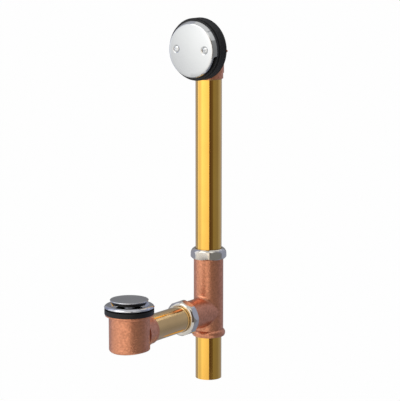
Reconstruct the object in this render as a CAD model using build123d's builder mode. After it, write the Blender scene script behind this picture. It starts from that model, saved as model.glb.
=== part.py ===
from build123d import *
from math import sqrt
import os

# Bath waste and overflow with a toe-touch stopper, in millimetres.
# The origin is the centre of the tailpiece's lower end. +Z is up and -Y is the bath side.
# The overflow tube, the tee and the tailpiece stand on the Z axis. The drain stands forward of them.

os.makedirs("parts", exist_ok=True)

# Drawn brass tube of the standard inch and a half size, and its play in the castings
TUBE_R = 38.1 / 2
TUBE_WALL = 0.81
TUBE_BORE_R = TUBE_R - TUBE_WALL
SIZED_END_R = TUBE_R - 0.3
SOLDER_GAP = 0.05
SLIP_GAP = 0.25
END_PLAY = 0.5
RUNNING_GAP = 0.03
WATERWAY_R = 18.0

# Heights of the two horizontal axes, and where the drain's vertical axis stands
WASTE_Z = 101.4
OVERFLOW_Z = 486.0
DRAIN_Y = -188.9

# Tee casting
TEE_R = 21.6
TEE_BRANCH_R = 21.3
TEE_BOTTOM_Z = 63.7
TEE_BEAD_R = 24.6
TEE_BEAD_FOOT_R = 22.7
TEE_BEAD_H = 9.6
TEE_BEAD_CREST_Z = TEE_BOTTOM_Z + 4.3
TEE_SOCKET_DEPTH = 16.0
TEE_THREAD_R = 22.45
TEE_THREAD_LENGTH = 9.2
TEE_FILLET = 5.0
TUBE_STOP_Z = 137.0
BRANCH_STOP_Y = -23.5
MOUTH_LAND = 0.6
MOUTH_BEVEL = 2.9

# Slip nut, the same on both joints: its open end stands this far below the tee's mouth
NUT_R = 26.1
NUT_CORNER_R = 26.6
NUT_SIDES = 8
NUT_HEIGHT = 14.7
NUT_SHOULDER_Z = 6.6
NUT_FACE_R = 21.9
NUT_BULGE = 1.2
NUT_TOE = 2.1
NUT_CAVITY_R = 22.6
NUT_LIP = 1.9
NUT_HOLE_R = 19.6
NUT_OVERLAP = 9.5
OVERFLOW_NUT_Z = 179.7
OVERFLOW_NUT_TURN = -9.4
WASTE_NUT_Y = -58.2
WASTE_NUT_TURN = 0
RING_T = 0.8
RING_PLAY = 0.3
RING_BORE_R = TUBE_R + 0.15
WASHER_PLAY = 0.6
WASHER_TOE_T = 0.5
WASHER_TOE_DEPTH = 2.0
WASHER_TAPER_TOP = NUT_OVERLAP + 0.4

# Drain shoe casting
SHOE_R = 28.6
SHOE_WALL = 3.5
SHOE_BOTTOM_Z = 79.3
SHOE_CROWN_R = 200.0
SHOE_EDGE_R = 2.6
SHOE_CORE_EDGE_R = 3.0
SHOE_TOP_Z = 132.2
SHOE_FLANGE_R = 33.6
SHOE_FLANGE_T = 1.9
SHOE_COVE_W = 1.2
SHOE_COVE_T = 1.0
SHOE_COVE_FOOT_T = 2.6
SHOE_THREAD_R = 24.2
SHOE_THREAD_BOTTOM_Z = 116.0
NECK_ROOT_R = 24.8
NECK_ROOT_Y = -171.0
NECK_R = 20.9
NECK_RING_Y = -151.5
NECK_END_Y = -147.0
NECK_SOCKET_DEPTH = 15.0

# Shoe gasket
SHOE_GASKET_R = 34.5
SHOE_GASKET_BORE_R = 26.0
SHOE_GASKET_T = 7.2
SHOE_GASKET_EDGE_R = 1.0

# Drain flange: a rolled rim, a dish for the stopper and a threaded barrel with a crossbar
DRAIN_RIM_R = 34.9
DRAIN_RIM_Z = 142.1
DRAIN_RIM_BEVEL_W = 0.7
DRAIN_RIM_BEVEL_T = 0.9
DRAIN_RIM_BULGE = 1.1
DRAIN_CREST_R = 29.3
DRAIN_CREST_Z = 145.6
DRAIN_MOUTH_R = 27.5
DRAIN_MOUTH_Z = 144.2
DRAIN_MOUTH_BULGE = 0.28
DRAIN_SEAT_R = 24.4
DRAIN_SEAT_Z = 140.2
DRAIN_SEAT_FALL = 1.4
DRAIN_SHOULDER_R = 27.2
DRAIN_SHOULDER_Z = 141.2
THROAT_R = 20.5
BARREL_R = 23.9
BARREL_TOP_Z = 138.0
BARREL_BOTTOM_Z = 113.4
CROSSBAR_H = 4.0
CROSSBAR_W = 3.2
CROSSBAR_ARMS = 4
BOSS_R = 6.6
BOSS_BOTTOM_Z = 111.4
BOSS_TOP_Z = 118.4
POST_THREAD_R = 3.95

# Toe-touch stopper, raised
STOPPER_TRAVEL = 6.0
CAP_R = 26.8
CAP_TOP_Z = 152.65
CAP_BOTTOM_Z = 149.7
CAP_BOTTOM_R = 24.5
CAP_SIDE_BULGE = 0.5
CAP_EDGE = 0.8
CAP_EDGE_BULGE = 0.25
CAP_DOME = 0.7
SLEEVE_R = 8.4
SLEEVE_BORE_R = 7.0
SLEEVE_BOTTOM_Z = 127.8
SLEEVE_TOP_WALL = 2.0
SLEEVE_BEVEL = 0.5
POST_HEX_ACROSS_FLATS = 12.7
POST_HEX_H = 3.0
POST_R = 3.2
POST_TIP_BEVEL = 0.8
POST_HEAD_R = 6.3
POST_HEAD_Z = 132.8
POST_HEAD_H = 2.8
LATCH_GROOVE_DEPTH = 0.6
LATCH_GROOVE_FLAT = 0.3
GUIDE_R = 3.4
GUIDE_TOP_Z = 139.0
SPRING_WIRE_R = 0.45
SPRING_R = 4.9
SPRING_TURNS = 4
SPRING_PLAY = 0.05
COLLAR_Z = 129.4
COLLAR_H = 3.2
COLLAR_PLAY = 0.3
CLIP_Z = 128.5
CLIP_T = 0.8
CLIP_GROOVE = 0.5
CLIP_PLAY = 0.1
CLIP_WIDTH = 1.7
CLIP_GAP = 2.4
SEAL_R = 23.2
SEAL_T = 2.6
SEAL_LIP_Z = 145.9
SEAL_LIP_W = 1.8
SEAL_LIP_BEVEL = 0.8
SEAL_WEB_R = 19.0
SEAL_BORE_PLAY = 0.1
RETAINER_R = 15.0
RETAINER_T = 0.8
RETAINER_NUT_R = 10.0
RETAINER_NUT_H = 3.4

# Overflow elbow casting
ELBOW_SOCKET_R = 22.0
ELBOW_RING_R = 20.9
ELBOW_BOTTOM_Z = 442.4
ELBOW_STEP_Z = 450.4
ELBOW_TUBE_TOP_Z = 466.0
ELBOW_BACK_R = 24.5
ELBOW_MOUTH_R = 26.0
ELBOW_FLANGE_R = 36.0
ELBOW_FLANGE_T = 4.0
ELBOW_SPIGOT_R = 19.5
ELBOW_SPIGOT_WALL = 2.5
ELBOW_SPIGOT_LENGTH = 13.0
LUG_R = 6.2
LUG_END_Y = -5.0
RIB_Z = 483.8
RIB_H = 3.6
RIB_END_X = 38.0
RIB_BACK_Y = -7.0

# Overflow gasket, on the overflow's axis
GASKET_R = 44.5
GASKET_NECK_R = 42.6
GASKET_BORE_R = 19.8
GASKET_FRONT_Y = -36.7
GASKET_EDGE_Y = -33.4
GASKET_BACK_Y = -17.85
GASKET_BACK_BEVEL = 1.0
GASKET_EDGE_BEVEL = 0.6
GASKET_GROOVES = 4
GASKET_GROOVE = 0.5
GASKET_RELIEF = 0.4

# Face plate, and the two screws that hold it
PLATE_Z = 485.2
PLATE_RIM_R = 41.7
PLATE_FACE_R = 37.5
PLATE_RIM_Y = -37.1
PLATE_DEPTH = 7.2
PLATE_DOME = 1.8
PLATE_T = 1.2
PLATE_EDGE_R = 1.2
PLATE_CUT_DROP = 7.0
PLATE_CUT_DEPTH = 4.5
PLATE_CUT_CORNER_R = 3.0
SCREW_X = 24.8
SCREW_Z = 486.5
SCREW_SEAT = 7.1
SCREW_HEAD_R = 4.4
SCREW_HEAD_H = 2.4
SCREW_HEAD_CROWN = 1.1
SCREW_R = 2.4
SCREW_HOLE_R = 2.7
SCREW_LENGTH = 36.0
SCREW_TIP = 0.6
SCREW_SLOT_W = 1.1
SCREW_SLOT_TURN = 18
DIMPLE_R = 6.3
DIMPLE_RIM = 8.5
PRESSING_R = 7.5
PRESSING_TOP = 7.5
DIMPLE_LAND = 0.1

TUBE_AXIS = Axis.Z
DRAIN_AXIS = Axis((0, DRAIN_Y, 0), (0, 0, 1))


def upward(y, z):
    """A face plane that looks up, centred on the tube's axis (y = 0) or on the drain's."""
    return Plane(origin=(0, y, z), x_dir=(1, 0, 0), z_dir=(0, 0, 1))


def bathward(y, z):
    """A face plane that looks at the bath, centred on a horizontal axis at height z."""
    return Plane(origin=(0, y, z), x_dir=(1, 0, 0), z_dir=(0, -1, 0))


def section(face):
    """The section plane of a turned piece: X runs out from the face plane's axis, Y along it."""
    return Plane(origin=face.origin, x_dir=face.x_dir, z_dir=face.x_dir.cross(face.z_dir))


def axis_of(face):
    """The axis that a face plane stands on."""
    return Axis(face.origin, face.z_dir)


def dome(radius, height, base=0):
    """The points of a shallow dome's arc, from its edge to its crown on the axis, above a base height."""
    sphere_r = (radius**2 + height**2) / (2 * height)
    middle_r = radius / 2
    middle = base + height - sphere_r + sqrt(sphere_r**2 - middle_r**2)
    return (radius, base), (middle_r, middle), (0, base + height)


def turn_tube(face, length, outer_r=TUBE_R):
    """A length of the brass tube, from the face plane along its axis."""
    with BuildSketch(face) as ring:
        Circle(outer_r)
        Circle(TUBE_BORE_R, mode=Mode.SUBTRACT)
    extrude(ring.sketch, amount=length)


def make_slip_nut(face, turn):
    """An eight-sided slip nut with rounded corners: face is its open end, its lip is at the far end."""
    with BuildSketch(face) as octagon:
        RegularPolygon(radius=NUT_CORNER_R, side_count=NUT_SIDES, rotation=turn)
    extrude(octagon.sketch, amount=NUT_HEIGHT)
    with BuildSketch(section(face)) as barrel:
        with BuildLine():
            Polyline((0, NUT_HEIGHT), (0, 0), (NUT_R - NUT_TOE, 0), (NUT_R, NUT_TOE), (NUT_R, NUT_SHOULDER_Z))
            SagittaArc((NUT_R, NUT_SHOULDER_Z), (NUT_FACE_R, NUT_HEIGHT), -NUT_BULGE)
            Line((NUT_FACE_R, NUT_HEIGHT), (0, NUT_HEIGHT))
        make_face()
    revolve(barrel.sketch, axis=axis_of(face), mode=Mode.INTERSECT)
    with BuildSketch(face) as cavity:
        Circle(NUT_CAVITY_R)
    extrude(cavity.sketch, amount=NUT_HEIGHT - NUT_LIP, mode=Mode.SUBTRACT)
    with BuildSketch(face) as hole:
        Circle(NUT_HOLE_R)
    extrude(hole.sketch, amount=NUT_HEIGHT, mode=Mode.SUBTRACT)


def make_slip_washer(face):
    """A rubber slip washer: flat against the nut, tapered into the tee's mouth."""
    bore_r = TUBE_R + RUNNING_GAP
    rim_r = NUT_CAVITY_R - WASHER_PLAY
    toe = NUT_OVERLAP - WASHER_TOE_DEPTH
    top = NUT_HEIGHT - NUT_LIP - RING_T
    with BuildSketch(section(face)) as washer:
        Polygon(
            (bore_r, toe),
            (bore_r + WASHER_TOE_T, toe),
            (rim_r, WASHER_TAPER_TOP),
            (rim_r, top),
            (bore_r, top),
            align=None,
        )
    revolve(washer.sketch, axis=axis_of(face))


def make_friction_ring(face):
    """The thin ring that lets the nut turn without twisting the rubber."""
    with BuildSketch(face.offset(NUT_HEIGHT - NUT_LIP - RING_T)) as ring:
        Circle(NUT_CAVITY_R - RING_PLAY)
        Circle(RING_BORE_R, mode=Mode.SUBTRACT)
    extrude(ring.sketch, amount=RING_T)


OVERFLOW_NUT_FACE = upward(0, OVERFLOW_NUT_Z)
WASTE_NUT_FACE = bathward(WASTE_NUT_Y, WASTE_Z)
TEE_MOUTH_Z = OVERFLOW_NUT_Z + NUT_OVERLAP
BRANCH_MOUTH_Y = WASTE_NUT_Y - NUT_OVERLAP

# Tailpiece: the straight tube that goes down to the trap. Its upper end is sized down to enter the tee
TAILPIECE_SHOULDER_Z = TEE_BOTTOM_Z - END_PLAY
TAILPIECE_TOP_Z = TEE_BOTTOM_Z + TEE_SOCKET_DEPTH - END_PLAY
with BuildPart() as tailpiece:
    turn_tube(upward(0, 0), TAILPIECE_SHOULDER_Z)
    turn_tube(upward(0, TAILPIECE_SHOULDER_Z), TAILPIECE_TOP_Z - TAILPIECE_SHOULDER_Z, SIZED_END_R)

# Overflow tube, from the tee's upper slip joint to the overflow elbow
OVERFLOW_TUBE_LENGTH = ELBOW_TUBE_TOP_Z - TUBE_STOP_Z - 2 * END_PLAY
with BuildPart() as overflow_tube:
    turn_tube(upward(0, TUBE_STOP_Z + END_PLAY), OVERFLOW_TUBE_LENGTH)

# Waste tube, from the tee's branch to the drain shoe
WASTE_TUBE_LENGTH = BRANCH_STOP_Y - NECK_END_Y + NECK_SOCKET_DEPTH - 2 * END_PLAY
with BuildPart() as waste_tube:
    turn_tube(bathward(BRANCH_STOP_Y - END_PLAY, WASTE_Z), WASTE_TUBE_LENGTH)

# Tee: run and branch with blended roots, threaded mouths, and a beaded solder socket below
with BuildPart() as tee:
    with BuildSketch(upward(0, TEE_BOTTOM_Z)):
        Circle(TEE_R)
    extrude(amount=TEE_MOUTH_Z - TEE_BOTTOM_Z)
    with BuildSketch(bathward(0, WASTE_Z)):
        Circle(TEE_BRANCH_R)
    extrude(amount=-BRANCH_MOUTH_Y)
    fillet(tee.edges().filter_by(GeomType.BSPLINE), TEE_FILLET)
    for face in (OVERFLOW_NUT_FACE, WASTE_NUT_FACE):
        with BuildSketch(face.offset(NUT_OVERLAP - TEE_THREAD_LENGTH)):
            Circle(TEE_THREAD_R)
        extrude(amount=TEE_THREAD_LENGTH)
    with BuildSketch(section(upward(0, 0))):
        bead_top_z = TEE_BOTTOM_Z + TEE_BEAD_H
        with BuildLine():
            Polyline((TUBE_R, bead_top_z), (TUBE_R, TEE_BOTTOM_Z), (TEE_BEAD_FOOT_R, TEE_BOTTOM_Z))
            ThreePointArc((TEE_BEAD_FOOT_R, TEE_BOTTOM_Z), (TEE_BEAD_R, TEE_BEAD_CREST_Z), (TEE_R, bead_top_z))
            Line((TEE_R, bead_top_z), (TUBE_R, bead_top_z))
        make_face()
    revolve(axis=TUBE_AXIS)
    with BuildSketch(upward(0, TEE_BOTTOM_Z)):
        Circle(SIZED_END_R + SOLDER_GAP)
    extrude(amount=TEE_SOCKET_DEPTH, mode=Mode.SUBTRACT)
    with BuildSketch(upward(0, TEE_BOTTOM_Z)):
        Circle(WATERWAY_R)
    extrude(amount=TUBE_STOP_Z - TEE_BOTTOM_Z, mode=Mode.SUBTRACT)
    with BuildSketch(upward(0, TUBE_STOP_Z)):
        Circle(TUBE_R + SLIP_GAP)
    extrude(amount=TEE_MOUTH_Z - TUBE_STOP_Z, mode=Mode.SUBTRACT)
    with BuildSketch(bathward(0, WASTE_Z)):
        Circle(WATERWAY_R)
    extrude(amount=-BRANCH_MOUTH_Y, mode=Mode.SUBTRACT)
    with BuildSketch(bathward(BRANCH_STOP_Y, WASTE_Z)):
        Circle(TUBE_R + SLIP_GAP)
    extrude(amount=BRANCH_STOP_Y - BRANCH_MOUTH_Y, mode=Mode.SUBTRACT)
    for face in (OVERFLOW_NUT_FACE, WASTE_NUT_FACE):
        with BuildSketch(section(face.offset(NUT_OVERLAP))):
            Polygon((TUBE_R, 0), (TEE_THREAD_R - MOUTH_LAND, 0), (TUBE_R, -MOUTH_BEVEL), align=None)
        revolve(axis=axis_of(face), mode=Mode.SUBTRACT)

# Slip joints: nut, friction ring and washer, first round the overflow tube and then the waste tube
with BuildPart() as overflow_slip_nut:
    make_slip_nut(OVERFLOW_NUT_FACE, OVERFLOW_NUT_TURN)
with BuildPart() as overflow_slip_washer:
    make_slip_washer(OVERFLOW_NUT_FACE)
with BuildPart() as overflow_friction_ring:
    make_friction_ring(OVERFLOW_NUT_FACE)
with BuildPart() as waste_slip_nut:
    make_slip_nut(WASTE_NUT_FACE, WASTE_NUT_TURN)
with BuildPart() as waste_slip_washer:
    make_slip_washer(WASTE_NUT_FACE)
with BuildPart() as waste_friction_ring:
    make_friction_ring(WASTE_NUT_FACE)

# Core of the drain shoe: the space inside the casting
SHOE_CROWN_AXIS_Z = SHOE_BOTTOM_Z + SHOE_CROWN_R
with BuildPart() as shoe_core:
    with BuildSketch(upward(DRAIN_Y, SHOE_BOTTOM_Z)):
        Circle(SHOE_R - SHOE_WALL)
    extrude(amount=SHOE_THREAD_BOTTOM_Z - SHOE_BOTTOM_Z)
    with BuildSketch(bathward(DRAIN_Y + SHOE_R, SHOE_CROWN_AXIS_Z)):
        Circle(SHOE_CROWN_R - SHOE_WALL)
    extrude(amount=2 * SHOE_R, mode=Mode.INTERSECT)
    fillet(shoe_core.edges().group_by(Axis.Z)[0], SHOE_CORE_EDGE_R)
    with BuildSketch(upward(DRAIN_Y, SHOE_THREAD_BOTTOM_Z)):
        Circle(SHOE_THREAD_R)
    extrude(amount=SHOE_TOP_Z - SHOE_THREAD_BOTTOM_Z)
    with BuildSketch(bathward(NECK_END_Y, WASTE_Z)):
        Circle(WATERWAY_R)
    extrude(amount=NECK_END_Y - DRAIN_Y)
    with BuildSketch(bathward(NECK_END_Y, WASTE_Z)):
        Circle(TUBE_R + SOLDER_GAP)
    extrude(amount=NECK_SOCKET_DEPTH)

# Drain shoe: a round bowl with a crowned floor, a thin seat flange and a tapering neck
with BuildPart() as shoe:
    with BuildSketch(upward(DRAIN_Y, SHOE_BOTTOM_Z)):
        Circle(SHOE_R)
    extrude(amount=SHOE_TOP_Z - SHOE_BOTTOM_Z)
    with BuildSketch(bathward(DRAIN_Y + SHOE_R, SHOE_CROWN_AXIS_Z)):
        Circle(SHOE_CROWN_R)
    extrude(amount=2 * SHOE_R, mode=Mode.INTERSECT)
    fillet(shoe.edges().group_by(Axis.Z)[0], SHOE_EDGE_R)
    with BuildSketch(section(bathward(NECK_END_Y, WASTE_Z))):
        Polygon(
            (0, 0),
            (NECK_R, 0),
            (NECK_R, NECK_END_Y - NECK_RING_Y),
            (NECK_ROOT_R, NECK_END_Y - NECK_ROOT_Y),
            (0, NECK_END_Y - NECK_ROOT_Y),
            align=None,
        )
    revolve(axis=Axis((0, 0, WASTE_Z), (0, -1, 0)))
    with BuildSketch(section(upward(DRAIN_Y, SHOE_TOP_Z))):
        Polygon(
            (SHOE_THREAD_R, 0),
            (SHOE_FLANGE_R, 0),
            (SHOE_FLANGE_R, -SHOE_FLANGE_T),
            (SHOE_R + SHOE_COVE_W, -SHOE_FLANGE_T - SHOE_COVE_T),
            (SHOE_R, -SHOE_FLANGE_T - SHOE_COVE_FOOT_T),
            (SHOE_THREAD_R, -SHOE_FLANGE_T - SHOE_COVE_FOOT_T),
            align=None,
        )
    revolve(axis=DRAIN_AXIS)
    add(shoe_core.part, mode=Mode.SUBTRACT)

# Shoe gasket, between the shoe's flange and the underside of the bath
with BuildPart() as shoe_gasket:
    with BuildSketch(section(upward(DRAIN_Y, SHOE_TOP_Z))) as shoe_gasket_section:
        Polygon(
            (SHOE_GASKET_BORE_R, 0),
            (SHOE_GASKET_R, 0),
            (SHOE_GASKET_R, SHOE_GASKET_T),
            (SHOE_GASKET_BORE_R, SHOE_GASKET_T),
            align=None,
        )
        fillet(shoe_gasket_section.vertices().group_by(Axis.X)[-1].sort_by(Axis.Y)[0], SHOE_GASKET_EDGE_R)
    revolve(axis=DRAIN_AXIS)

# Drain flange: rolled rim, stopper dish, throat, threaded barrel and a crossbar with a boss
with BuildPart() as drain_flange:
    rim_foot = (DRAIN_RIM_R - DRAIN_RIM_BEVEL_W, DRAIN_RIM_Z - DRAIN_RIM_BEVEL_T)
    rim_edge = (DRAIN_RIM_R, DRAIN_RIM_Z)
    crest = (DRAIN_CREST_R, DRAIN_CREST_Z)
    mouth = (DRAIN_MOUTH_R, DRAIN_MOUTH_Z)
    with BuildSketch(section(upward(DRAIN_Y, 0))):
        with BuildLine():
            Line(rim_foot, rim_edge)
            SagittaArc(rim_edge, crest, -DRAIN_RIM_BULGE)
            SagittaArc(crest, mouth, -DRAIN_MOUTH_BULGE)
            Polyline(
                mouth,
                (DRAIN_SEAT_R, DRAIN_SEAT_Z),
                (THROAT_R, DRAIN_SEAT_Z - DRAIN_SEAT_FALL),
                (THROAT_R, BARREL_BOTTOM_Z),
                (BARREL_R, BARREL_BOTTOM_Z),
                (BARREL_R, BARREL_TOP_Z),
                (DRAIN_SHOULDER_R, DRAIN_SHOULDER_Z),
                rim_foot,
            )
        make_face()
    revolve(axis=DRAIN_AXIS)
    with BuildSketch(upward(DRAIN_Y, BARREL_BOTTOM_Z)):
        with PolarLocations(THROAT_R / 2, CROSSBAR_ARMS, start_angle=45):
            Rectangle(THROAT_R + CROSSBAR_W, CROSSBAR_W)
    extrude(amount=CROSSBAR_H)
    with BuildSketch(upward(DRAIN_Y, BOSS_BOTTOM_Z)):
        Circle(BOSS_R)
    extrude(amount=BOSS_TOP_Z - BOSS_BOTTOM_Z)
    with BuildSketch(upward(DRAIN_Y, BOSS_BOTTOM_Z)):
        Circle(POST_THREAD_R + RUNNING_GAP)
    extrude(amount=BOSS_TOP_Z - BOSS_BOTTOM_Z, mode=Mode.SUBTRACT)

# Stopper cap: a low domed disc whose edge is drawn in below
with BuildPart() as stopper_cap:
    cap_foot = (CAP_BOTTOM_R, CAP_BOTTOM_Z)
    cap_side = (CAP_R, CAP_TOP_Z - CAP_EDGE)
    cap_edge = (CAP_R - CAP_EDGE, CAP_TOP_Z)
    with BuildSketch(section(upward(DRAIN_Y, 0))):
        with BuildLine():
            Line((0, CAP_BOTTOM_Z), cap_foot)
            SagittaArc(cap_foot, cap_side, -CAP_SIDE_BULGE)
            SagittaArc(cap_side, cap_edge, -CAP_EDGE_BULGE)
            ThreePointArc(*dome(CAP_R - CAP_EDGE, CAP_DOME, CAP_TOP_Z))
            Line((0, CAP_TOP_Z + CAP_DOME), (0, CAP_BOTTOM_Z))
        make_face()
    revolve(axis=DRAIN_AXIS)

# Stopper seal: a rubber ring under the cap, with a lip that meets the flange's seat
with BuildPart() as stopper_seal:
    seal_bore_r = SLEEVE_R + SEAL_BORE_PLAY
    with BuildSketch(section(upward(DRAIN_Y, 0))):
        Polygon(
            (seal_bore_r, CAP_BOTTOM_Z),
            (SEAL_R, CAP_BOTTOM_Z),
            (SEAL_R, SEAL_LIP_Z + SEAL_LIP_BEVEL),
            (SEAL_R - SEAL_LIP_BEVEL, SEAL_LIP_Z),
            (SEAL_R - SEAL_LIP_BEVEL - SEAL_LIP_W, SEAL_LIP_Z),
            (SEAL_WEB_R, CAP_BOTTOM_Z - SEAL_T),
            (seal_bore_r, CAP_BOTTOM_Z - SEAL_T),
            align=None,
        )
    revolve(axis=DRAIN_AXIS)

# Seal retainer: a flanged nut on the sleeve that holds the seal against the cap
with BuildPart() as seal_retainer:
    retainer_bore_r = SLEEVE_R + SOLDER_GAP
    with BuildSketch(section(upward(DRAIN_Y, CAP_BOTTOM_Z - SEAL_T))):
        Polygon(
            (retainer_bore_r, 0),
            (RETAINER_R, 0),
            (RETAINER_R, -RETAINER_T),
            (RETAINER_NUT_R, -2 * RETAINER_T),
            (RETAINER_NUT_R, -RETAINER_NUT_H),
            (retainer_bore_r, -RETAINER_NUT_H),
            align=None,
        )
    revolve(axis=DRAIN_AXIS)

# Stopper sleeve: fixed to the cap, it slides on the post and holds the spring
with BuildPart() as stopper_sleeve:
    groove_bottom_z = CLIP_Z - SPRING_PLAY
    groove_top_z = CLIP_Z + CLIP_T + SPRING_PLAY
    with BuildSketch(section(upward(DRAIN_Y, 0))):
        Polygon(
            (0, CAP_BOTTOM_Z - SLEEVE_TOP_WALL),
            (0, CAP_BOTTOM_Z),
            (SLEEVE_R, CAP_BOTTOM_Z),
            (SLEEVE_R, SLEEVE_BOTTOM_Z + SLEEVE_BEVEL),
            (SLEEVE_R - SLEEVE_BEVEL, SLEEVE_BOTTOM_Z),
            (SLEEVE_BORE_R, SLEEVE_BOTTOM_Z),
            (SLEEVE_BORE_R, groove_bottom_z),
            (SLEEVE_BORE_R + CLIP_GROOVE, groove_bottom_z),
            (SLEEVE_BORE_R + CLIP_GROOVE, groove_top_z),
            (SLEEVE_BORE_R, groove_top_z),
            (SLEEVE_BORE_R, CAP_BOTTOM_Z - SLEEVE_TOP_WALL),
            align=None,
        )
    revolve(axis=DRAIN_AXIS)

# Stopper post: threaded end in the crossbar's boss, hexagon, latch groove, stop head and spring guide
LATCH_Z = COLLAR_Z - STOPPER_TRAVEL + COLLAR_H / 2
LATCH_MOUTH = LATCH_GROOVE_FLAT + LATCH_GROOVE_DEPTH
with BuildPart() as stopper_post:
    with BuildSketch(section(upward(DRAIN_Y, 0))):
        Polygon(
            (0, BOSS_BOTTOM_Z),
            (POST_THREAD_R - POST_TIP_BEVEL, BOSS_BOTTOM_Z),
            (POST_THREAD_R, BOSS_BOTTOM_Z + POST_TIP_BEVEL),
            (POST_THREAD_R, BOSS_TOP_Z),
            (POST_R, BOSS_TOP_Z),
            (POST_R, LATCH_Z - LATCH_MOUTH),
            (POST_R - LATCH_GROOVE_DEPTH, LATCH_Z - LATCH_GROOVE_FLAT),
            (POST_R - LATCH_GROOVE_DEPTH, LATCH_Z + LATCH_GROOVE_FLAT),
            (POST_R, LATCH_Z + LATCH_MOUTH),
            (POST_R, POST_HEAD_Z),
            (POST_HEAD_R, POST_HEAD_Z),
            (POST_HEAD_R, POST_HEAD_Z + POST_HEAD_H),
            (GUIDE_R, POST_HEAD_Z + POST_HEAD_H),
            (GUIDE_R, GUIDE_TOP_Z - POST_TIP_BEVEL),
            (GUIDE_R - POST_TIP_BEVEL, GUIDE_TOP_Z),
            (0, GUIDE_TOP_Z),
            align=None,
        )
    revolve(axis=DRAIN_AXIS)
    with BuildSketch(upward(DRAIN_Y, BOSS_TOP_Z)):
        RegularPolygon(radius=POST_HEX_ACROSS_FLATS / 2, side_count=6, major_radius=False)
    extrude(amount=POST_HEX_H)

# Latch collar: rides in the sleeve's mouth and catches in the post's groove when pressed down
with BuildPart() as latch_collar:
    with BuildSketch(upward(DRAIN_Y, COLLAR_Z)):
        Circle(SLEEVE_BORE_R - SOLDER_GAP)
        Circle(POST_R + COLLAR_PLAY, mode=Mode.SUBTRACT)
    extrude(amount=COLLAR_H)

# Retaining clip: a split ring sprung into the sleeve's groove, below the collar
with BuildPart() as retaining_clip:
    clip_r = SLEEVE_BORE_R + CLIP_GROOVE - CLIP_PLAY
    with BuildSketch(upward(DRAIN_Y, CLIP_Z)):
        Circle(clip_r)
        Circle(clip_r - CLIP_WIDTH, mode=Mode.SUBTRACT)
        with Locations((clip_r, 0)):
            Rectangle(2 * CLIP_WIDTH + CLIP_GROOVE, CLIP_GAP, mode=Mode.SUBTRACT)
    extrude(amount=CLIP_T)

# Stopper spring: from the post's head up to the top of the sleeve
SPRING_BOTTOM_Z = POST_HEAD_Z + POST_HEAD_H + SPRING_WIRE_R + SPRING_PLAY
SPRING_TOP_Z = CAP_BOTTOM_Z - SLEEVE_TOP_WALL - SPRING_WIRE_R - SPRING_PLAY
SPRING_RISE = SPRING_TOP_Z - SPRING_BOTTOM_Z
with BuildPart() as stopper_spring:
    with BuildLine() as spring_path:
        Helix(
            pitch=SPRING_RISE / SPRING_TURNS,
            height=SPRING_RISE,
            radius=SPRING_R,
            center=(0, DRAIN_Y, SPRING_BOTTOM_Z),
        )
    with BuildSketch(Plane(origin=spring_path.line @ 0, z_dir=spring_path.line % 0)):
        Circle(SPRING_WIRE_R)
    sweep(is_frenet=True)

# Overflow elbow: tube socket with a stepped ring, rounded back, mouth flange, spigot and screw lugs
with BuildPart() as overflow_elbow:
    with BuildSketch(upward(0, ELBOW_BOTTOM_Z)):
        Circle(ELBOW_RING_R)
    extrude(amount=ELBOW_STEP_Z - ELBOW_BOTTOM_Z)
    with BuildSketch(upward(0, ELBOW_STEP_Z)):
        Circle(ELBOW_SOCKET_R)
    extrude(amount=OVERFLOW_Z - ELBOW_STEP_Z)
    with Locations((0, 0, OVERFLOW_Z)):
        Sphere(ELBOW_BACK_R)
    with BuildSketch(bathward(0, OVERFLOW_Z)):
        Circle(ELBOW_BACK_R)
    with BuildSketch(bathward(GASKET_BACK_Y, OVERFLOW_Z)):
        Circle(ELBOW_MOUTH_R)
    loft()
    with BuildSketch(bathward(GASKET_BACK_Y + ELBOW_FLANGE_T, OVERFLOW_Z)):
        Circle(ELBOW_FLANGE_R)
    extrude(amount=ELBOW_FLANGE_T)
    with BuildSketch(bathward(GASKET_BACK_Y, OVERFLOW_Z)):
        Circle(ELBOW_SPIGOT_R)
    extrude(amount=ELBOW_SPIGOT_LENGTH)
    with BuildSketch(bathward(LUG_END_Y, SCREW_Z)):
        with Locations((-SCREW_X, 0), (SCREW_X, 0)):
            Circle(LUG_R)
    extrude(amount=LUG_END_Y - GASKET_BACK_Y)
    with BuildSketch(bathward(RIB_BACK_Y, RIB_Z)):
        SlotOverall(2 * RIB_END_X, RIB_H)
    extrude(amount=RIB_BACK_Y - GASKET_BACK_Y)
    with BuildSketch(upward(0, ELBOW_BOTTOM_Z)):
        Circle(TUBE_R + SOLDER_GAP)
    extrude(amount=ELBOW_TUBE_TOP_Z - ELBOW_BOTTOM_Z, mode=Mode.SUBTRACT)
    with BuildSketch(upward(0, ELBOW_BOTTOM_Z)):
        Circle(WATERWAY_R)
    extrude(amount=OVERFLOW_Z - ELBOW_BOTTOM_Z, mode=Mode.SUBTRACT)
    with Locations((0, 0, OVERFLOW_Z)):
        Sphere(WATERWAY_R, mode=Mode.SUBTRACT)
    with BuildSketch(bathward(0, OVERFLOW_Z)):
        Circle(ELBOW_SPIGOT_R - ELBOW_SPIGOT_WALL)
    extrude(amount=ELBOW_SPIGOT_LENGTH - GASKET_BACK_Y, mode=Mode.SUBTRACT)
    with BuildSketch(bathward(LUG_END_Y, SCREW_Z)):
        with Locations((-SCREW_X, 0), (SCREW_X, 0)):
            Circle(SCREW_R + RUNNING_GAP)
    extrude(amount=LUG_END_Y - GASKET_BACK_Y, mode=Mode.SUBTRACT)

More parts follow.
